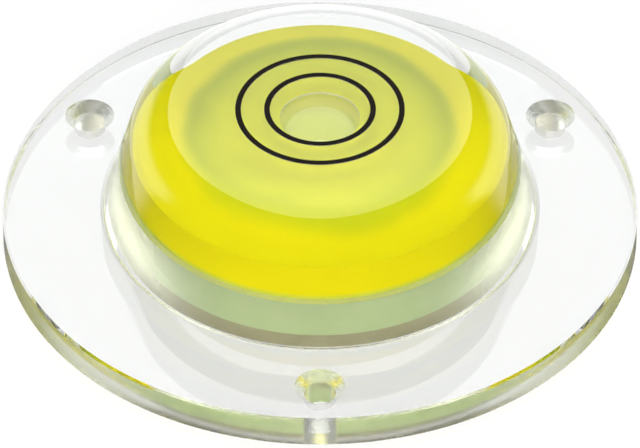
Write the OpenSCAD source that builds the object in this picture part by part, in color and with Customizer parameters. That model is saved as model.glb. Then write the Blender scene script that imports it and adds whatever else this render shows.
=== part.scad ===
// Bullseye level: a clear moulded body with a screw-down flange, a liquid chamber under a domed
// ceiling, a pressed-in base disc with sealant under it and two target rings let into the top face.
// Millimetres, +Z up. The origin is the middle of the flange's underside.
// The front mounting hole lies on -Y.

/* [Flange] */
// Diameter of the mounting flange
flange_d = 60; // [50:0.5:90]
// Width of the flange outside the dome's foot
flange_w = 9.5; // [8:0.1:14]
// Thickness of the mounting flange
flange_t = 3.3; // [2.5:0.1:5]
// Bevel round the top and bottom edges of the flange
flange_bevel = 0.2; // [0.1:0.05:0.5]

/* [Mounting holes] */
// Number of mounting holes
hole_count = 3; // [2:1:8]
// Distance from the flange's edge in to the holes' centres
hole_edge = 4.5; // [3:0.1:6]
// Bore of each mounting hole
hole_d = 2.9; // [2:0.1:3.6]
// Diameter of each countersink at the flange's top face
sink_d = 4.7; // [4.2:0.1:6]
// Depth of each countersink
sink_depth = 0.9; // [0.4:0.1:1.5]

/* [Dome] */
// Height of the dome above the flange
dome_h = 11.7; // [11:0.1:16]
// Lean of the dome's wall from upright, in degrees
wall_lean = 16.6; // [8:0.2:18]
// Radius of the dome's round shoulder
shoulder_r = 4.5; // [2:0.1:5]
// Radius of the fillet between dome and flange
foot_fillet_r = 0.4; // [0.2:0.1:0.8]
// Thickness of the dome's wall from its foot in to the chamber's side
wall_t = 5; // [3.5:0.1:9]

/* [Chamber] */
// Height of the chamber's upright side wall
chamber_wall_h = 3.7; // [2:0.1:4.5]
// Rise of the domed ceiling from its edge to its middle
ceiling_rise = 3.4; // [1:0.1:4.5]
// Thickness of clear plastic over the middle of the ceiling
lens_t = 2.1; // [1.5:0.1:3]

/* [Bubble] */
// Diameter of the air bubble
bubble_d = 7.5; // [4:0.1:9]
// Depth of the air bubble
bubble_h = 1.8; // [1:0.1:2.5]

/* [Base disc] */
// Width of the ledge that the base disc is pressed up against
ledge_w = 0.8; // [0.4:0.1:1.5]
// Thickness of the base disc
disc_t = 3.6; // [2:0.1:4]

/* [Seal ring] */
// Width of the sealant ring under the base disc's edge
seal_w = 2.6; // [1:0.1:5]
// How far the sealant ring stays up inside the flange's underside
seal_recess = 0.4; // [0.2:0.1:0.8]
// Hollow of the sealant's inner edge, from its top to its foot
seal_hollow = 0.8; // [0.2:0.1:1]

/* [Filler plug] */
// Diameter of the filler hole and of the plug's shank
filler_d = 2.4; // [1.5:0.1:4]
// Diameter of the plug's head
plug_head_d = 4.4; // [4.2:0.1:7]
// Thickness of the plug's head
plug_head_t = 1; // [0.5:0.1:2]

/* [Target rings] */
// Outside diameter of the outer target ring
outer_ring_d = 15.8; // [13:0.1:22]
// Outside diameter of the inner target ring
inner_ring_d = 10.4; // [8:0.1:11.5]
// Width of each ring's line
ring_line_w = 0.48; // [0.3:0.02:0.8]
// Depth of each ring's groove in the top face
ring_groove_depth = 0.15; // [0.1:0.05:0.3]

/* [Hidden] */
$fn = 96;

// Overlap that cutting tools reach past the faces they cut
cut = 1;

flange_r = flange_d/2;
hole_circle_r = flange_r - hole_edge;
dome_foot_r = flange_r - flange_w;
total_h = flange_t + dome_h;

// Where the wall's line and the flat top touch the round shoulder
shoulder_z = total_h - shoulder_r;
wall_slope = tan(wall_lean);
shoulder_x = dome_foot_r - (shoulder_z - flange_t)*wall_slope - shoulder_r/cos(wall_lean);
touch_x = shoulder_x + shoulder_r*cos(wall_lean);
touch_z = shoulder_z + shoulder_r*sin(wall_lean);

// Where the fillet at the dome's foot touches the wall and the flange
fillet_z = flange_t + foot_fillet_r;
fillet_x = dome_foot_r - foot_fillet_r*wall_slope + foot_fillet_r/cos(wall_lean);
fillet_touch_x = fillet_x - foot_fillet_r*cos(wall_lean);
fillet_touch_z = fillet_z - foot_fillet_r*sin(wall_lean);

chamber_r = dome_foot_r - wall_t;
ceiling_z = total_h - lens_t;
ceiling_edge_z = ceiling_z - ceiling_rise;
chamber_floor_z = ceiling_edge_z - chamber_wall_h;
ceiling_r = (chamber_r*chamber_r + ceiling_rise*ceiling_rise)/(2*ceiling_rise);

disc_r = chamber_r + ledge_w;
disc_z = chamber_floor_z - disc_t;

bubble_r = bubble_d/2;
bubble_edge_r = bubble_h/2;
bubble_core_r = bubble_r - bubble_edge_r;
bubble_edge_z = ceiling_z - ceiling_r + sqrt(ceiling_r*ceiling_r - bubble_r*bubble_r) - bubble_edge_r;

ring_z = total_h - ring_groove_depth;

// Right half of the body's outline, from the axis out
module outline() {
    difference() {
        union() {
            polygon([
                [0, 0],
                [flange_r - flange_bevel, 0],
                [flange_r, flange_bevel],
                [flange_r, flange_t - flange_bevel],
                [flange_r - flange_bevel, flange_t],
                [fillet_x, flange_t],
                [fillet_touch_x, fillet_touch_z],
                [touch_x, touch_z],
                [shoulder_x, shoulder_z],
                [shoulder_x, total_h],
                [0, total_h],
            ]);
            translate([shoulder_x, shoulder_z])
                circle(r = shoulder_r);
        }
        translate([fillet_x, fillet_z])
            circle(r = foot_fillet_r);
    }
}

// Right half of the space that the liquid and the bubble share
module chamber_outline() {
    intersection() {
        translate([0, chamber_floor_z])
            square([chamber_r, ceiling_z - chamber_floor_z]);
        translate([0, ceiling_z - ceiling_r])
            circle(r = ceiling_r);
    }
}

// The space of the chamber, turned about the upright axis
module chamber() {
    rotate_extrude()
        chamber_outline();
}

// One through hole with its countersink, upright at the origin
module mounting_hole() {
    bore_r = hole_d/2;
    sink_r = sink_d/2;
    sink_slope = (sink_r - bore_r)/sink_depth;
    translate([0, 0, -cut])
        cylinder(r = bore_r, h = flange_t + 2*cut);
    translate([0, 0, flange_t - sink_depth])
        cylinder(r1 = bore_r, r2 = sink_r + cut*sink_slope, h = sink_depth + cut);
}

// All the mounting holes on their circle, the first at the front
module mounting_holes() {
    for (i = [0 : hole_count - 1])
        rotate([0, 0, -90 + i*360/hole_count])
            translate([hole_circle_r, 0, 0])
                mounting_hole();
}

// A flat ring on the top face, as deep as its groove, standing "extra" above it
module flat_ring(outside_d, extra) {
    translate([0, 0, ring_z])
        difference() {
            cylinder(r = outside_d/2, h = ring_groove_depth + extra);
            translate([0, 0, -cut])
                cylinder(r = outside_d/2 - ring_line_w, h = ring_groove_depth + extra + 2*cut);
        }
}

// Clear body: flange, dome and lens in one moulding
module body() {
    color([0.88, 0.94, 0.92, 0.35])
        difference() {
            rotate_extrude()
                outline();
            chamber();
            translate([0, 0, -cut])
                cylinder(r = disc_r, h = chamber_floor_z + cut);
            mounting_holes();
            flat_ring(outer_ring_d, cut);
            flat_ring(inner_ring_d, cut);
        }
}

// Disc that closes the chamber from below, with a stepped filler hole in its middle
module base_disc() {
    color([0.86, 0.90, 0.78])
        difference() {
            translate([0, 0, disc_z])
                cylinder(r = disc_r, h = disc_t);
            translate([0, 0, disc_z - cut])
                cylinder(r = filler_d/2, h = disc_t + 2*cut);
            translate([0, 0, disc_z - cut])
                cylinder(r = plug_head_d/2, h = plug_head_t + cut);
        }
}

// Ring of sealant in the bore under the base disc, its inner edge sloped
module seal_ring() {
    top_r = disc_r - seal_w;
    color([0.45, 0.42, 0.28])
        rotate_extrude()
            polygon([
                [top_r, disc_z],
                [top_r + seal_hollow, seal_recess],
                [disc_r, seal_recess],
                [disc_r, disc_z],
            ]);
}

// Plug that fills the filler hole, its head flush with the base disc's underside
module filler_plug() {
    color([0.80, 0.84, 0.72])
        translate([0, 0, disc_z])
            union() {
                cylinder(r = plug_head_d/2, h = plug_head_t);
                cylinder(r = filler_d/2, h = disc_t);
            }
}

// Liquid that fills the chamber, hollowed at the top by the air bubble
module liquid() {
    color([0.86, 0.90, 0.18, 0.8])
        difference() {
            chamber();
            translate([0, 0, bubble_edge_z])
                rotate_extrude()
                    translate([bubble_core_r, 0])
                        circle(r = bubble_edge_r);
            translate([0, 0, bubble_edge_z - bubble_edge_r])
                cylinder(r = bubble_core_r, h = ceiling_z - bubble_edge_z + bubble_edge_r + cut);
            translate([0, 0, bubble_edge_z])
                cylinder(r = bubble_r, h = ceiling_z - bubble_edge_z + cut);
        }
}

// Outer target ring, let into the top face
module target_ring_outer() {
    color([0.07, 0.06, 0.05])
        flat_ring(outer_ring_d, 0);
}

// Inner target ring, let into the top face
module target_ring_inner() {
    color([0.07, 0.06, 0.05])
        flat_ring(inner_ring_d, 0);
}

body();
base_disc();
seal_ring();
filler_plug();
liquid();
target_ring_outer();
target_ring_inner();
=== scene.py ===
# Bullseye level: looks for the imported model. Blender 4.5, metres, same frame as the CAD.
import math

import bmesh
import bpy
from mathutils import Matrix, Vector


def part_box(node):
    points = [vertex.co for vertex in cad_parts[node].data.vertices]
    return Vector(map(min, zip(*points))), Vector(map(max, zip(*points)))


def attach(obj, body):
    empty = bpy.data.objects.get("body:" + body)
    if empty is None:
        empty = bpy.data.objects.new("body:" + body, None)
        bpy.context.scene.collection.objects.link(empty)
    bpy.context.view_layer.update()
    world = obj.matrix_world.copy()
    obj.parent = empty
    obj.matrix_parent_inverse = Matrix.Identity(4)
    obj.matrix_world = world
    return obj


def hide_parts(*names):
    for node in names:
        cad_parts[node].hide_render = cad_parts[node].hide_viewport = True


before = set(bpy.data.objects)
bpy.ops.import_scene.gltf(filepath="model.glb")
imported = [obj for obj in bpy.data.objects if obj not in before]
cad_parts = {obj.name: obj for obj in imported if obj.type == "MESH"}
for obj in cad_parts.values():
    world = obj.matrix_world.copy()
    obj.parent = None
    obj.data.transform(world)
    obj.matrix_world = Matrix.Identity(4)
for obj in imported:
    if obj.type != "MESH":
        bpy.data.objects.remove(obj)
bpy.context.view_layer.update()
print("frame loaded:", sorted(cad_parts))

mm = 0.001
fullTurn = 2*math.pi


# Places that several pieces share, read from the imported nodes

bodyLow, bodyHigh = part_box("body")
discLow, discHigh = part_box("base_disc")
sealLow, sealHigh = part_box("seal_ring")
liquidLow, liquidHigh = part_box("liquid")


# Helpers for nodes

def newMaterial(name):
    mat = bpy.data.materials.new(name)
    mat.use_nodes = True
    mat.node_tree.nodes.clear()
    return mat, mat.node_tree


def addNode(tree, kind, inputs=None, **settings):
    node = tree.nodes.new(kind)
    for key, value in settings.items():
        setattr(node, key, value)
    for key, value in (inputs or {}).items():
        socket(node.inputs, key).default_value = value
    return node


def socket(sockets, key):  # a Mix node has a socket of the same name for each kind of value
    if isinstance(key, int):
        return sockets[key]
    return next(each for each in sockets if each.name == key and each.enabled)


def addColourMix(tree, inputs):
    return addNode(tree, "ShaderNodeMix", inputs, data_type="RGBA")


def addSmoothRange(tree, inputs):
    return addNode(tree, "ShaderNodeMapRange", inputs, interpolation_type="SMOOTHSTEP")


def addNoise(tree, scale, detail, roughness):
    return addNode(tree, "ShaderNodeTexNoise", {"Scale": scale, "Detail": detail, "Roughness": roughness})


def link(tree, source, output, target, entry):
    tree.links.new(socket(source.outputs, output), socket(target.inputs, entry))


def wearer(piece, mat):
    piece.data.materials.clear()
    piece.data.materials.append(mat)


# Helpers for turned pieces

def wire(bm, points):  # a run of edges through points given as (radius, height) in metres
    verts = [bm.verts.new((radius, 0, height)) for radius, height in points]
    for first, second in zip(verts, verts[1:]):
        bm.edges.new((first, second))
    return verts


def roundCorner(bm, vert, radius, segments):
    bmesh.ops.bevel(bm, geom=[vert], offset=radius, offset_type="OFFSET", segments=segments,
                    profile=0.5, affect="VERTICES", material=-1)


def arc(bm, start, centre, angle, steps):  # turns a new vertex about centre, towards the axis
    return arcFrom(bm, bm.verts.new(start), centre, angle, steps)


def arcFrom(bm, vert, centre, angle, steps, downward=False):
    before = set(bm.verts)
    signedAngle = angle if downward else -angle
    bmesh.ops.spin(bm, geom=[vert], cent=centre, axis=(0, 1, 0), angle=signedAngle, steps=steps)
    added = [v for v in bm.verts if v not in before]
    middle = Vector(centre)
    away = vert.co - middle
    added.sort(key=lambda v: (v.co - middle).angle(away))
    return [vert] + added


def turn(bm, steps):  # spins everything in bm about the upright axis
    bmesh.ops.spin(bm, geom=bm.verts[:] + bm.edges[:], cent=(0, 0, 0), axis=(0, 0, 1),
                   angle=fullTurn, steps=steps, use_merge=True)
    bmesh.ops.remove_doubles(bm, verts=bm.verts, dist=1e-7)
    bmesh.ops.recalc_face_normals(bm, faces=bm.faces)


def finishPiece(bm, name, node, sharpDegrees=30):
    mesh = bpy.data.meshes.new(name)
    bm.to_mesh(mesh)
    bm.free()
    for face in mesh.polygons:
        face.use_smooth = True
    mesh.set_sharp_from_angle(angle=math.radians(sharpDegrees))
    piece = bpy.data.objects.new(name, mesh)
    bpy.context.collection.objects.link(piece)
    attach(piece, "root")
    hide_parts(node)
    print(name, "made,", len(mesh.polygons), "faces")
    return piece


# Camera at the photograph's angle

cameraSetup = {
    "elevation": 41.4,       # degrees above the floor
    "distance": 0.66,
    "aimHeight": 0.00065,
    "imageWidth": 640,       # px
    "flangeWidth": 633.2,    # px that the flange takes across the photograph
}


def makeCamera():
    setup = cameraSetup
    data = bpy.data.cameras.new("camera")
    cam = bpy.data.objects.new("camera", data)
    bpy.context.collection.objects.link(cam)
    flangeRadius = bodyHigh.x
    data.sensor_width = 36
    data.lens = data.sensor_width*setup["flangeWidth"]/setup["imageWidth"]*setup["distance"]/(2*flangeRadius)
    data.clip_start = 0.01
    lift = math.radians(setup["elevation"])
    aim = Vector((0, 0, setup["aimHeight"]))
    cam.location = aim + Vector((0, -math.cos(lift), math.sin(lift)))*setup["distance"]
    cam.rotation_euler = (math.pi/2 - lift, 0, 0)
    bpy.context.scene.camera = cam
    print("camera set")


# Floor, world and lamps

studio = {
    "floorSize": 3.0,
    "floorDrop": 0.00002,         # keeps the floor off the flange's underside
    "floorColour": (0.90, 0.90, 0.90, 1),
    "floorSeenWhite": 0.80,       # share of plain white that the camera and clear pieces see
    "worldLight": 0.25,
    "darkMirrored": 0.12,         # what gloss shows of the dark room in front and overhead,
    "paleMirrored": 2.0,          # of the pale backdrop low down behind and beside
    "floorMirrored": 1.6,         # and of the floor there
    "behind": {"From Min": -0.08, "From Max": 0.15},          # share of a direction that points back
    "backdropHeight": {"From Min": 0.45, "From Max": 0.2},    # share that points up, where it fades
    "floorWhitens": {"From Min": 0.06, "From Max": 0.5},      # m from the middle
    "floorPales": {"From Min": 0.03, "From Max": 0.35},       # m from the middle
    "skyWhite": (1.0, 1.0, 1.0, 1),
}
lamps = {
    "keyLamp": {
        "at": (0.0, -1.15, 0.42), "size": (0.7, 0.4), "watts": 28.0,
        "colour": (1.0, 0.86, 0.66), "mirrored": False},
    "skyLamp": {
        "at": (0.0, 0.30, 1.3), "size": (1.4, 0.9), "watts": 12.0,
        "colour": (0.95, 1.0, 0.97), "mirrored": False},
    "topLamp": {
        "at": (0.0, 0.605, 0.92), "size": (0.56, 1.10), "watts": 3.4,
        "colour": (1.0, 1.0, 1.0), "mirrored": True},
}


def makeFloor():
    setup = studio
    bm = bmesh.new()
    bmesh.ops.create_grid(bm, x_segments=1, y_segments=1, size=setup["floorSize"]/2,
                          matrix=Matrix.Translation((0, 0, -setup["floorDrop"])))
    mesh = bpy.data.meshes.new("floor")
    bm.to_mesh(mesh)
    bm.free()
    floor = bpy.data.objects.new("floor", mesh)
    bpy.context.collection.objects.link(floor)
    mat, tree = newMaterial("floorPaper")
    paper = addNode(tree, "ShaderNodeBsdfDiffuse", {"Color": setup["floorColour"]})
    white = addNode(tree, "ShaderNodeEmission", {"Color": setup["skyWhite"], "Strength": 1.0})
    mirrored = addNode(tree, "ShaderNodeEmission", {"Color": setup["skyWhite"]})
    seen, gloss = addRayKinds(tree)
    whiter = addSmoothRange(tree, {**setup["floorWhitens"], "To Min": setup["floorSeenWhite"]})
    share = addNode(tree, "ShaderNodeMath", operation="MULTIPLY")
    mix = addNode(tree, "ShaderNodeMixShader")
    glossMix = addNode(tree, "ShaderNodeMixShader")
    coords = addNode(tree, "ShaderNodeTexCoord")
    away = addNode(tree, "ShaderNodeVectorMath", operation="LENGTH")
    towards = addNode(tree, "ShaderNodeVectorMath", operation="NORMALIZE")
    axes = addNode(tree, "ShaderNodeSeparateXYZ")
    behind = addSmoothRange(tree, setup["behind"])
    pale = addNode(tree, "ShaderNodeMapRange", {
        **setup["floorPales"], "To Min": setup["floorMirrored"], "To Max": setup["paleMirrored"]})
    shade = addNode(tree, "ShaderNodeMapRange", {"To Min": setup["darkMirrored"]})
    out = addNode(tree, "ShaderNodeOutputMaterial")
    link(tree, away, "Value", whiter, "Value")
    link(tree, seen, 0, share, 0)
    link(tree, whiter, 0, share, 1)
    link(tree, share, 0, mix, 0)
    link(tree, paper, 0, mix, 1)
    link(tree, white, 0, mix, 2)
    link(tree, coords, "Object", away, 0)
    link(tree, coords, "Object", towards, 0)
    link(tree, towards, 0, axes, 0)
    link(tree, axes, "Y", behind, "Value")
    link(tree, away, "Value", pale, "Value")
    link(tree, behind, 0, shade, "Value")
    link(tree, pale, 0, shade, "To Max")
    link(tree, shade, 0, mirrored, "Strength")
    link(tree, gloss, 0, glossMix, 0)
    link(tree, mix, 0, glossMix, 1)
    link(tree, mirrored, 0, glossMix, 2)
    link(tree, glossMix, 0, out, "Surface")
    wearer(floor, mat)
    print("floor laid")


def addRayKinds(tree):  # 1 for rays that see straight or through clear pieces, 1 for mirrored ones
    path = addNode(tree, "ShaderNodeLightPath")
    unscattered = addNode(tree, "ShaderNodeMath", {1: 0.5}, operation="LESS_THAN")
    straight = addNode(tree, "ShaderNodeMath", operation="MAXIMUM")
    reflected = addNode(tree, "ShaderNodeMath", operation="SUBTRACT", use_clamp=True)
    seen = addNode(tree, "ShaderNodeMath", operation="MULTIPLY")
    gloss = addNode(tree, "ShaderNodeMath", operation="MULTIPLY")
    link(tree, path, "Diffuse Depth", unscattered, 0)
    link(tree, path, "Is Camera Ray", straight, 0)
    link(tree, path, "Is Transmission Ray", straight, 1)
    link(tree, path, "Is Glossy Ray", reflected, 0)
    link(tree, path, "Is Transmission Ray", reflected, 1)
    link(tree, straight, 0, seen, 0)
    link(tree, unscattered, 0, seen, 1)
    link(tree, reflected, 0, gloss, 0)
    link(tree, unscattered, 0, gloss, 1)
    return seen, gloss


def makeWorld():
    setup = studio
    world = bpy.data.worlds.new("studioWorld")
    bpy.context.scene.world = world
    world.use_nodes = True
    tree = world.node_tree
    tree.nodes.clear()
    light = addNode(tree, "ShaderNodeBackground", {
        "Color": setup["skyWhite"], "Strength": setup["worldLight"]})
    white = addNode(tree, "ShaderNodeBackground", {"Color": setup["skyWhite"], "Strength": 1.0})
    mirrored = addNode(tree, "ShaderNodeBackground", {"Color": setup["skyWhite"]})
    towards = addNode(tree, "ShaderNodeTexCoord")
    axes = addNode(tree, "ShaderNodeSeparateXYZ")
    behind = addSmoothRange(tree, setup["behind"])
    low = addSmoothRange(tree, setup["backdropHeight"])
    backdrop = addNode(tree, "ShaderNodeMath", operation="MULTIPLY")
    shade = addNode(tree, "ShaderNodeMapRange", {
        "To Min": setup["darkMirrored"], "To Max": setup["paleMirrored"]})
    seen, gloss = addRayKinds(tree)
    mix = addNode(tree, "ShaderNodeMixShader")
    glossMix = addNode(tree, "ShaderNodeMixShader")
    out = addNode(tree, "ShaderNodeOutputWorld")
    link(tree, towards, "Generated", axes, 0)
    link(tree, axes, "Y", behind, "Value")
    link(tree, axes, "Z", low, "Value")
    link(tree, behind, 0, backdrop, 0)
    link(tree, low, 0, backdrop, 1)
    link(tree, backdrop, 0, shade, "Value")
    link(tree, shade, 0, mirrored, "Strength")
    link(tree, seen, 0, mix, 0)
    link(tree, light, 0, mix, 1)
    link(tree, white, 0, mix, 2)
    link(tree, gloss, 0, glossMix, 0)
    link(tree, mix, 0, glossMix, 1)
    link(tree, mirrored, 0, glossMix, 2)
    link(tree, glossMix, 0, out, "Surface")
    print("world set")


def makeLamps():
    target = Vector((0, 0, bodyHigh.z/2))
    for name, setup in lamps.items():
        data = bpy.data.lights.new(name, "AREA")
        data.shape = "ELLIPSE"
        data.size, data.size_y = setup["size"]
        data.energy = setup["watts"]
        data.color = setup["colour"]
        lamp = bpy.data.objects.new(name, data)
        bpy.context.collection.objects.link(lamp)
        lamp.location = setup["at"]
        lamp.visible_camera = False
        lamp.visible_glossy = setup["mirrored"]
        lamp.rotation_euler = (target - lamp.location).to_track_quat("-Z", "Y").to_euler()
    print("lamps hung")


# Clear body in polished acrylic: flange, dome and lens in one moulding

clearBody = {
    "flangeThickness": 3.3,     # mm
    "flangeBevel": 0.2,         # mm
    "footWidth": 41.0,          # mm across the dome's foot
    "footFillet": 0.4,          # mm
    "wallLean": 16.6,           # degrees from upright
    "shoulderRound": 4.5,       # mm
    "chamberWidth": 31.0,       # mm
    "grooves": [(7.9, 7.42), (5.2, 4.72)],   # mm, outer and inner radius of each ring's groove
    "grooveDepth": 0.15,        # mm
    "support": 0.12,            # mm from an arc's end to the loop that holds the flat beside it
    "steps": 288,
    "holeCount": 3,
    "holeCircle": 25.5,         # mm from the middle
    "holeWidth": 2.9,           # mm
    "sinkWidth": 4.7,           # mm
    "sinkDepth": 0.9,           # mm
    "holeSteps": 64,
}
acrylic = {
    "colour": (0.84, 0.852, 0.85, 1),
    "flowColour": (0.815, 0.827, 0.825, 1),
    "flowScale": 160.0,
    "ior": 1.49,
    "roughness": 0.0,
    "boreRoughness": 0.25,
    "markDepth": 0.12,         # mm, marks of the drill
    "markScale": 1400.0,
    "markSquash": 2.5,         # how much flatter a mark is than wide
    # painted light: green tint for the liquid's light piped through the acrylic to the bores
    "borePipedLightTint": (0.86, 0.93, 0.76, 1),
    "rimRoughness": 0.2,
    # painted light: yellow-green tint for the liquid's light piped out through the flange's rim
    "rimPipedLightTint": (0.97, 1.0, 0.90, 1),
}


def makeAcrylic(name, colour, roughness):
    setup = acrylic
    mat, tree = newMaterial(name)
    coords = addNode(tree, "ShaderNodeTexCoord")
    flow = addNoise(tree, setup["flowScale"], 2.0, 0.5)
    tint = addColourMix(tree, {"A": colour, "B": setup["flowColour"]})
    shader = addNode(tree, "ShaderNodeBsdfPrincipled", {
        "IOR": setup["ior"], "Roughness": roughness, "Transmission Weight": 1.0})
    out = addNode(tree, "ShaderNodeOutputMaterial")
    link(tree, coords, "Object", flow, "Vector")
    link(tree, flow, "Fac", tint, "Factor")
    link(tree, tint, "Result", shader, "Base Color")
    link(tree, shader, 0, out, "Surface")
    return mat


def addDrillMarks(tree):
    setup = acrylic
    shader = next(node for node in tree.nodes if node.type == "BSDF_PRINCIPLED")
    coords = addNode(tree, "ShaderNodeTexCoord")
    spread = addNode(tree, "ShaderNodeMapping", {"Scale": (1.0, 1.0, setup["markSquash"])})
    marks = addNoise(tree, setup["markScale"], 3.0, 0.6)
    bump = addNode(tree, "ShaderNodeBump", {"Strength": 0.8, "Distance": setup["markDepth"]*mm})
    link(tree, coords, "Object", spread, "Vector")
    link(tree, spread, 0, marks, "Vector")
    link(tree, marks, "Fac", bump, "Height")
    link(tree, bump, 0, shader, "Normal")


def bodyOutline(bm):  # the moulding's half section, from the ceiling's middle round to the top's
    setup = clearBody
    lean = math.radians(setup["wallLean"])
    chamberRadius = setup["chamberWidth"]/2*mm
    ceilingTop = bodyHigh.z - liquid["lensThickness"]*mm
    rise = liquid["ceilingRise"]*mm
    domeRadius = (chamberRadius**2 + rise**2)/(2*rise)
    edge = arc(bm, (chamberRadius, 0, ceilingTop - rise), (0, 0, ceilingTop - domeRadius),
               math.asin(chamberRadius/domeRadius), 32)
    edge.reverse()

    flangeTop = setup["flangeThickness"]*mm
    bevel = setup["flangeBevel"]*mm
    support = setup["support"]*mm
    fillet = setup["footFillet"]*mm
    filletX = setup["footWidth"]/2*mm - fillet*math.tan(lean) + fillet/math.cos(lean)
    under = wire(bm, [
        (chamberRadius, discHigh.z), (discHigh.x, discHigh.z), (discHigh.x, 0),
        (bodyHigh.x - bevel, 0), (bodyHigh.x, bevel), (bodyHigh.x, flangeTop - bevel),
        (bodyHigh.x - bevel, flangeTop), (filletX + support, flangeTop)])
    foot = arcFrom(bm, bm.verts.new((filletX, 0, flangeTop)), (filletX, 0, flangeTop + fillet),
                   math.pi/2 - lean, 8, downward=True)

    shoulder = setup["shoulderRound"]*mm
    shoulderZ = bodyHigh.z - shoulder
    shoulderX = setup["footWidth"]/2*mm - (shoulderZ - flangeTop)*math.tan(lean) - shoulder/math.cos(lean)
    touch = (shoulderX + shoulder*math.cos(lean), 0, shoulderZ + shoulder*math.sin(lean))
    along = Vector((-math.sin(lean), 0, math.cos(lean)))*support
    low = bm.verts.new(foot[-1].co + along)
    high = bm.verts.new(Vector(touch) - along)
    top = arc(bm, touch, (shoulderX, 0, shoulderZ), math.pi/2 - lean, 24)

    grooveFloor = bodyHigh.z - setup["grooveDepth"]*mm
    points = [(shoulderX - support, bodyHigh.z)]
    for outer, inner in setup["grooves"]:
        points += [(outer*mm, bodyHigh.z), (outer*mm, grooveFloor)]
        points += [(inner*mm, grooveFloor), (inner*mm, bodyHigh.z)]
    face = wire(bm, points + [(0, bodyHigh.z)])
    runs = [edge, under, foot, [low], [high], top, face]
    for run, following in zip(runs, runs[1:]):
        bm.edges.new((run[-1], following[0]))


def vertsOf(parts):
    return [part for part in parts if isinstance(part, bmesh.types.BMVert)]


def makeHoleCutter():
    setup = clearBody
    bm = bmesh.new()
    top = setup["flangeThickness"]*mm
    bore = setup["holeWidth"]/2*mm
    sink = setup["sinkWidth"]/2*mm
    start = top - setup["sinkDepth"]*mm
    beyond = mm
    slope = (sink - bore)/(top - start)
    wire(bm, [
        (0, -beyond), (bore, -beyond), (bore, start), (sink + slope*beyond, top + beyond), (0, top + beyond)])
    turn(bm, setup["holeSteps"])
    single = bm.verts[:] + bm.edges[:] + bm.faces[:]
    for i in range(setup["holeCount"]):
        angle = -math.pi/2 + i*fullTurn/setup["holeCount"]
        shift = Vector((math.cos(angle), math.sin(angle), 0))*setup["holeCircle"]*mm
        copied = bmesh.ops.duplicate(bm, geom=single)["geom"]
        bmesh.ops.translate(bm, verts=vertsOf(copied), vec=shift)
    bmesh.ops.delete(bm, geom=vertsOf(single), context="VERTS")
    mesh = bpy.data.meshes.new("holeCutter")
    bm.to_mesh(mesh)
    bm.free()
    cutter = bpy.data.objects.new("holeCutter", mesh)
    bpy.context.collection.objects.link(cutter)
    return cutter


def makeBody():
    bm = bmesh.new()
    bodyOutline(bm)
    turn(bm, clearBody["steps"])
    whole = bpy.data.meshes.new("uncutBody")
    bm.to_mesh(whole)
    bm.free()
    uncut = bpy.data.objects.new("uncutBody", whole)
    bpy.context.collection.objects.link(uncut)
    cutter = makeHoleCutter()
    cut = uncut.modifiers.new("holes", "BOOLEAN")
    cut.object = cutter
    cut.operation = "DIFFERENCE"
    cut.solver = "EXACT"
    bpy.context.view_layer.update()
    drilled = bpy.data.meshes.new_from_object(uncut.evaluated_get(bpy.context.evaluated_depsgraph_get()))
    bpy.data.objects.remove(uncut)
    bpy.data.objects.remove(cutter)
    bm = bmesh.new()
    bm.from_mesh(drilled)
    piece = finishPiece(bm, "clearMoulding", "body")

    setup = acrylic
    wearer(piece, makeAcrylic("clearAcrylic", setup["colour"], setup["roughness"]))
    # the bores and the rim carry tints of painted piped light
    drilledBorePipedLight = makeAcrylic("drilledBorePipedLight", setup["borePipedLightTint"], setup["boreRoughness"])
    addDrillMarks(drilledBorePipedLight.node_tree)
    piece.data.materials.append(drilledBorePipedLight)
    piece.data.materials.append(makeAcrylic("satinRimPipedLight", setup["rimPipedLightTint"], setup["rimRoughness"]))
    rimStarts = bodyHigh.x - 1.5*clearBody["flangeBevel"]*mm
    reach = clearBody["sinkWidth"]/2*mm + 0.05*mm
    middles = []
    for i in range(clearBody["holeCount"]):
        angle = -math.pi/2 + i*fullTurn/clearBody["holeCount"]
        middles.append(Vector((math.cos(angle), math.sin(angle)))*clearBody["holeCircle"]*mm)
    for face in piece.data.polygons:
        inHole = min((face.center.xy - middle).length for middle in middles) < reach
        if inHole and abs(face.normal.z) < 0.99:
            face.material_index = 1
        elif face.center.xy.length > rimStarts and abs(face.normal.z) < 0.1:
            face.material_index = 2
        else:
            face.material_index = 0


# Liquid with its bubble

liquid = {
    "ceilingRise": 3.4,     # mm, from the ceiling's edge to its middle
    "lensThickness": 2.1,   # mm of acrylic over the middle
    "wet": 0.03,            # mm that the liquid reaches into the acrylic, so that no gap shows
    "bubbleWidth": 7.5,     # mm
    "bubbleDepth": 1.8,     # mm
    "steps": 160,
    "footColour": (0.62, 0.72, 0.10, 1),       # where the pale disc shines up into the liquid
    "deepColour": (0.86, 0.82, 0.005, 1),      # at the side wall
    "slopeShadeColour": (0.57, 0.65, 0.012, 1),       # under the ceiling's slope, painted shade
    "middleLightColour": (0.95, 0.99, 0.018, 1),    # under the ceiling's middle, painted light
    "bubbleColour": (0.84, 0.91, 0.02, 1),     # floor of the bubble
    # painted light: the bubble's round side lighter than its floor
    "bubbleWallPaintedLight": (1.0, 0.99, 0.05, 1),
    "meniscusHighlightColour": (1.0, 1.0, 0.72, 1),     # painted highlight: thin pale line where the bubble meets the ceiling
    "meniscusHighlightBand": (0.2, 0.1),                    # mm under the ceiling, where the painted highlight starts and is whole
    "roughness": 0.6,
    "rippleScale": 240.0,
    "rippleShare": 0.12,                       # how far ripples mix the bubble's two colours
    "cloudScale": 90.0,
    "cloudDrift": 0.8,                         # mm that clouds shift the heights below
    "footWhole": 5.9,                          # mm above the flange's underside
    "footEnds": 6.5,
    # heights of the painted shade under the slope and the painted light under the middle
    "slopeShadeStarts": 10.35,
    "slopeShadeWhole": 10.9,
    "middleLightStarts": 11.0,
    "middleLightWhole": 12.2,
}


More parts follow.
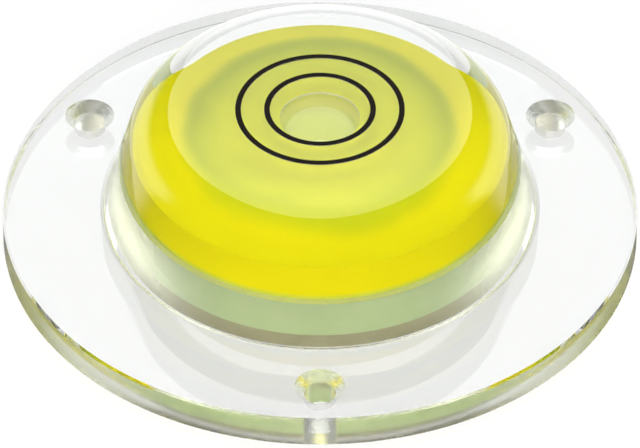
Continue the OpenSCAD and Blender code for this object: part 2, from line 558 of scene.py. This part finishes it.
def makeLiquid():
    setup = liquid
    wet = setup["wet"]*mm
    sideRadius = liquidHigh.x + wet
    floorHeight = liquidLow.z - wet
    top = bodyHigh.z - setup["lensThickness"]*mm
    rise = setup["ceilingRise"]*mm
    domeRadius = (liquidHigh.x**2 + rise**2)/(2*rise)
    domeMiddle = top - domeRadius
    bubbleEdge = setup["bubbleWidth"]/2*mm
    bubbleRound = setup["bubbleDepth"]/2*mm

    # half outline: floor, side wall, ceiling as far as the bubble, bubble back to the axis
    bm = bmesh.new()
    edgeAngle = math.asin(bubbleEdge/domeRadius)
    rimAngle = math.asin(liquidHigh.x/domeRadius)
    ceilingStart = Vector((liquidHigh.x, 0, top - rise + wet))
    wall = wire(bm, [(0, floorHeight), (sideRadius, floorHeight), (sideRadius, top - rise + wet)])
    ceiling = arc(bm, ceilingStart, (0, 0, domeMiddle + wet), rimAngle - edgeAngle, 24)
    bm.edges.new((wall[-1], ceiling[0]))
    bubbleSide = ceiling[-1].co.z - bubbleRound - wet
    start = bm.verts.new((bubbleEdge, 0, bubbleSide))
    bm.edges.new((ceiling[-1], start))
    bubble = arcFrom(bm, start, (bubbleEdge - bubbleRound, 0, bubbleSide), math.pi/2, 12, downward=True)
    middle = bm.verts.new((0, 0, bubbleSide - bubbleRound))
    bm.edges.new((bubble[-1], middle))
    turn(bm, setup["steps"])
    piece = finishPiece(bm, "tintedLiquid", "liquid")

    mat, tree = newMaterial("tintedSpirit")
    coords = addNode(tree, "ShaderNodeTexCoord")
    axes = addNode(tree, "ShaderNodeSeparateXYZ")
    cloud = addNoise(tree, setup["cloudScale"], 3.0, 0.5)
    drift = addNode(tree, "ShaderNodeMath", {
        1: setup["cloudDrift"]*mm, 2: -setup["cloudDrift"]/2*mm}, operation="MULTIPLY_ADD")
    height = addNode(tree, "ShaderNodeMath", operation="ADD")
    # height bands: painted shade under the ceiling's slope, painted light under its middle
    slopeShadeMask = addSmoothRange(tree, {"From Min": setup["slopeShadeStarts"]*mm, "From Max": setup["slopeShadeWhole"]*mm})
    foot = addSmoothRange(tree, {"From Min": setup["footWhole"]*mm, "From Max": setup["footEnds"]*mm})
    deep = addColourMix(tree, {"A": setup["footColour"], "B": setup["deepColour"]})
    low = addColourMix(tree, {"B": setup["slopeShadeColour"]})
    middleLightMask = addNode(tree, "ShaderNodeMapRange", {
        "From Min": setup["middleLightStarts"]*mm, "From Max": setup["middleLightWhole"]*mm})
    tint = addColourMix(tree, {"B": setup["middleLightColour"]})
    shader = addNode(tree, "ShaderNodeBsdfPrincipled", {
        "Roughness": setup["roughness"], "Specular IOR Level": 0.0})
    out = addNode(tree, "ShaderNodeOutputMaterial")
    link(tree, coords, "Object", axes, 0)
    link(tree, coords, "Object", cloud, "Vector")
    link(tree, cloud, "Fac", drift, 0)
    link(tree, axes, "Z", height, 0)
    link(tree, drift, 0, height, 1)
    link(tree, height, 0, slopeShadeMask, "Value")
    link(tree, height, 0, middleLightMask, "Value")
    link(tree, axes, "Z", foot, "Value")
    link(tree, foot, 0, deep, "Factor")
    link(tree, deep, "Result", low, "A")
    link(tree, slopeShadeMask, 0, low, "Factor")
    link(tree, low, "Result", tint, "A")
    link(tree, middleLightMask, 0, tint, "Factor")
    link(tree, tint, "Result", shader, "Base Color")
    link(tree, shader, 0, out, "Surface")
    wearer(piece, mat)

    piece.data.materials.append(makeBubbleSkinWithPaintedLight(bubbleSide + bubbleRound))
    for face in piece.data.polygons:
        inBubble = bubbleSide - 1.1*bubbleRound < face.center.z and face.center.xy.length < bubbleEdge
        if inBubble:
            face.material_index = 1


def makeBubbleSkinWithPaintedLight(ceiling):  # liquid under the air: level floor, round side with painted light, and a painted highlight line at the meniscus
    setup = liquid
    mat, tree = newMaterial("bubbleSkinPaintedLight")
    coords = addNode(tree, "ShaderNodeTexCoord")
    ripple = addNoise(tree, setup["rippleScale"], 2.0, 0.5)
    facing = addNode(tree, "ShaderNodeNewGeometry")
    axes = addNode(tree, "ShaderNodeSeparateXYZ")
    # the round side takes the painted light colour, the level floor the floor colour
    level = addSmoothRange(tree, {"From Min": 0.2, "From Max": 0.9})
    uneven = addNode(tree, "ShaderNodeMath", {
        1: setup["rippleShare"]}, operation="MULTIPLY_ADD", use_clamp=True)
    tint = addColourMix(tree, {"A": setup["bubbleWallPaintedLight"], "B": setup["bubbleColour"]})
    places = addNode(tree, "ShaderNodeSeparateXYZ")
    # painted highlight: a pale line just under the ceiling
    starts, ends = setup["meniscusHighlightBand"]
    meniscusHighlightBand = addSmoothRange(tree, {"From Min": ceiling - starts*mm, "From Max": ceiling - ends*mm})
    edged = addColourMix(tree, {"B": setup["meniscusHighlightColour"]})
    shader = addNode(tree, "ShaderNodeBsdfPrincipled", {
        "Roughness": setup["roughness"], "Specular IOR Level": 0.0})
    out = addNode(tree, "ShaderNodeOutputMaterial")
    link(tree, coords, "Object", ripple, "Vector")
    link(tree, facing, "Normal", axes, 0)
    link(tree, axes, "Z", level, "Value")
    link(tree, ripple, "Fac", uneven, 0)
    link(tree, level, 0, uneven, 2)
    link(tree, uneven, 0, tint, "Factor")
    link(tree, coords, "Object", places, 0)
    link(tree, places, "Z", meniscusHighlightBand, "Value")
    link(tree, meniscusHighlightBand, 0, edged, "Factor")
    link(tree, tint, "Result", edged, "A")
    link(tree, edged, "Result", shader, "Base Color")
    link(tree, shader, 0, out, "Surface")
    return mat


# Moulded pieces held in the bore: seen along their sides, the bore's dry wall mirrors before them

def makeBonded(name, setup):
    mat, tree = newMaterial(name)
    coords = addNode(tree, "ShaderNodeTexCoord")
    grain = addNoise(tree, setup["grain"], 4.0, 0.6)
    tint = addColourMix(tree, {"A": setup["colour"], "B": setup["cloudColour"]})
    shader = addNode(tree, "ShaderNodeBsdfPrincipled", {"Roughness": setup["roughness"]})
    out = addNode(tree, "ShaderNodeOutputMaterial")
    link(tree, coords, "Object", grain, "Vector")
    link(tree, grain, "Fac", tint, "Factor")
    if "mirrorFrom" not in setup:
        link(tree, tint, "Result", shader, "Base Color")
        link(tree, shader, 0, out, "Surface")
        return mat
    # painted light: faces that lie level are coloured lighter
    levelLightMix = addColourMix(tree, {"B": setup["litLevelColour"]})
    grazing = addNode(tree, "ShaderNodeLayerWeight", {"Blend": 0.5})
    along = addSmoothRange(tree, {
        "From Min": setup["mirrorFrom"], "From Max": setup["mirrorTo"], "To Max": setup["mirrorMost"]})
    facing = addNode(tree, "ShaderNodeNewGeometry")
    axes = addNode(tree, "ShaderNodeSeparateXYZ")
    level = addNode(tree, "ShaderNodeMath", operation="ABSOLUTE")
    upright = addNode(tree, "ShaderNodeMath", {1: 0.1}, operation="LESS_THAN")
    share = addNode(tree, "ShaderNodeMath", operation="MULTIPLY")
    wall = addNode(tree, "ShaderNodeBsdfGlossy", {
        "Color": setup["mirrorColour"], "Roughness": setup["mirrorRoughness"]})
    mix = addNode(tree, "ShaderNodeMixShader")
    link(tree, tint, "Result", levelLightMix, "A")
    link(tree, level, 0, levelLightMix, "Factor")
    link(tree, levelLightMix, "Result", shader, "Base Color")
    link(tree, grazing, "Facing", along, "Value")
    link(tree, facing, "Normal", axes, 0)
    link(tree, axes, "Z", level, 0)
    link(tree, level, 0, upright, 0)
    link(tree, along, 0, share, 0)
    link(tree, upright, 0, share, 1)
    link(tree, share, 0, mix, 0)
    link(tree, shader, 0, mix, 1)
    link(tree, wall, 0, mix, 2)
    link(tree, mix, 0, out, "Surface")
    return mat


# Base disc, a pale moulding, painted green with the liquid's light

baseDisc = {
    "bond": 0.05,            # mm that the disc reaches into the bore's wall, so that no gap shows
    "fillerWidth": 2.4,      # mm
    "headWidth": 4.4,        # mm
    "headThickness": 1.0,    # mm
    "holeBevel": 0.15,       # mm round the filler hole's lower edge
    "steps": 160,
    # painted light: the liquid's green light on the pale moulding
    "colour": (0.39, 0.54, 0.30, 1),
    "cloudColour": (0.48, 0.63, 0.40, 1),
    "litLevelColour": (0.66, 0.76, 0.42, 1),      # painted light on the faces that lie level
    "grain": 320.0,
    "roughness": 0.45,
    "mirrorColour": (0.98, 0.99, 0.82, 1),
    "mirrorFrom": 0.2,         # 0 is seen square on, 1 right along the surface
    "mirrorTo": 0.42,
    "mirrorMost": 0.9,
    "mirrorRoughness": 0.25,
}


def makeBaseDisc():
    setup = baseDisc
    bond = setup["bond"]*mm
    fillerRadius = setup["fillerWidth"]/2*mm
    headRadius = setup["headWidth"]/2*mm
    seat = discLow.z + setup["headThickness"]*mm
    bm = bmesh.new()
    outline = wire(bm, [
        (headRadius, discLow.z), (discHigh.x + bond, discLow.z), (discHigh.x + bond, discHigh.z + bond),
        (fillerRadius, discHigh.z + bond), (fillerRadius, seat), (headRadius, seat)])
    bm.edges.new((outline[-1], outline[0]))
    roundCorner(bm, outline[0], setup["holeBevel"]*mm, 3)
    turn(bm, setup["steps"])
    piece = finishPiece(bm, "baseDisc", "base_disc")

    wearer(piece, makeBonded("paleDiscPaintedGreen", setup))


# Seal ring under the disc's edge

sealRing = {
    "width": 2.6,          # mm at the disc
    "hollow": 0.8,         # mm that the foot stands back from the top's inner edge
    "bond": 0.04,          # mm
    "steps": 144,
    "colour": (0.30, 0.32, 0.20, 1),
    "cloudColour": (0.38, 0.39, 0.28, 1),
    # painted light: a little lighter on the faces that lie level
    "litLevelColour": (0.34, 0.35, 0.24, 1),
    "grain": 900.0,
    "roughness": 0.4,
    "mirrorColour": (0.98, 0.99, 0.84, 1),
    "mirrorFrom": 0.2,
    "mirrorTo": 0.42,
    "mirrorMost": 0.9,
    "mirrorRoughness": 0.25,
}


def makeSealRing():
    setup = sealRing
    bond = setup["bond"]*mm
    outside = sealHigh.x + bond
    inside = sealHigh.x - setup["width"]*mm
    foot = inside + setup["hollow"]*mm
    bm = bmesh.new()
    outline = wire(bm, [
        (inside, sealHigh.z + bond), (outside, sealHigh.z + bond), (outside, sealLow.z), (foot, sealLow.z)])
    slope = bm.edges.new((outline[-1], outline[0]))
    bmesh.ops.subdivide_edges(bm, edges=[slope], cuts=5)
    turn(bm, setup["steps"])
    piece = finishPiece(bm, "sealRing", "seal_ring", 50)

    wearer(piece, makeBonded("amberSealant", setup))


# Filler plug, its round head flush with the disc's underside

fillerPlug = {
    "bevel": 0.12,      # mm
    "sink": 0.04,       # mm that the plug's sides reach into the disc
    "steps": 64,
    "colour": (0.70, 0.76, 0.58, 1),
    "cloudColour": (0.78, 0.82, 0.68, 1),
    "grain": 700.0,
    "roughness": 0.5,
}


def makeFillerPlug():
    setup = fillerPlug
    sink = setup["sink"]*mm
    low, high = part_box("filler_plug")
    shank = baseDisc["fillerWidth"]/2*mm + sink
    head = baseDisc["headWidth"]/2*mm + sink
    seat = low.z + baseDisc["headThickness"]*mm + sink
    bm = bmesh.new()
    outline = wire(bm, [(0, low.z), (head, low.z), (head, seat), (shank, seat), (shank, high.z), (0, high.z)])
    roundCorner(bm, outline[1], setup["bevel"]*mm, 3)
    turn(bm, setup["steps"])
    piece = finishPiece(bm, "fillerPlug", "filler_plug")

    wearer(piece, makeBonded("plugPlastic", setup))


# Target rings, black paint in their grooves

targetRings = {
    "nodes": ["target_ring_outer", "target_ring_inner"],
    "lineWidth": 0.48,    # mm
    "sink": 0.02,         # mm that the paint reaches past the groove's faces
    "steps": 144,
    "colour": (0.004, 0.003, 0.002, 1),
    "wornColour": (0.010, 0.007, 0.005, 1),
    "grain": 1500.0,
    "roughness": 0.6,
    "specular": 0.08,
}


def makeTargetRings():
    setup = targetRings
    sink = setup["sink"]*mm
    mat, tree = newMaterial("blackPaint")
    coords = addNode(tree, "ShaderNodeTexCoord")
    grain = addNoise(tree, setup["grain"], 3.0, 0.6)
    tint = addColourMix(tree, {"A": setup["colour"], "B": setup["wornColour"]})
    shader = addNode(tree, "ShaderNodeBsdfPrincipled", {
        "Roughness": setup["roughness"], "Specular IOR Level": setup["specular"]})
    out = addNode(tree, "ShaderNodeOutputMaterial")
    link(tree, coords, "Object", grain, "Vector")
    link(tree, grain, "Fac", tint, "Factor")
    link(tree, tint, "Result", shader, "Base Color")
    link(tree, shader, 0, out, "Surface")
    for node in setup["nodes"]:
        low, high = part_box(node)
        outside = high.x + sink
        inside = high.x - setup["lineWidth"]*mm - sink
        bm = bmesh.new()
        outline = wire(bm, [
            (inside, low.z - sink), (outside, low.z - sink), (outside, high.z), (inside, high.z)])
        bm.edges.new((outline[-1], outline[0]))
        turn(bm, setup["steps"])
        piece = finishPiece(bm, node.replace("target_ring_", "paintedRing_"), node)
        wearer(piece, mat)


makeCamera()
makeFloor()
makeWorld()
makeLamps()
makeBody()
makeLiquid()
makeBaseDisc()
makeSealRing()
makeFillerPlug()
makeTargetRings()

scene = bpy.context.scene
scene.view_settings.view_transform = "Standard"
scene.cycles.max_bounces = 24
scene.cycles.transmission_bounces = 24
scene.cycles.glossy_bounces = 16
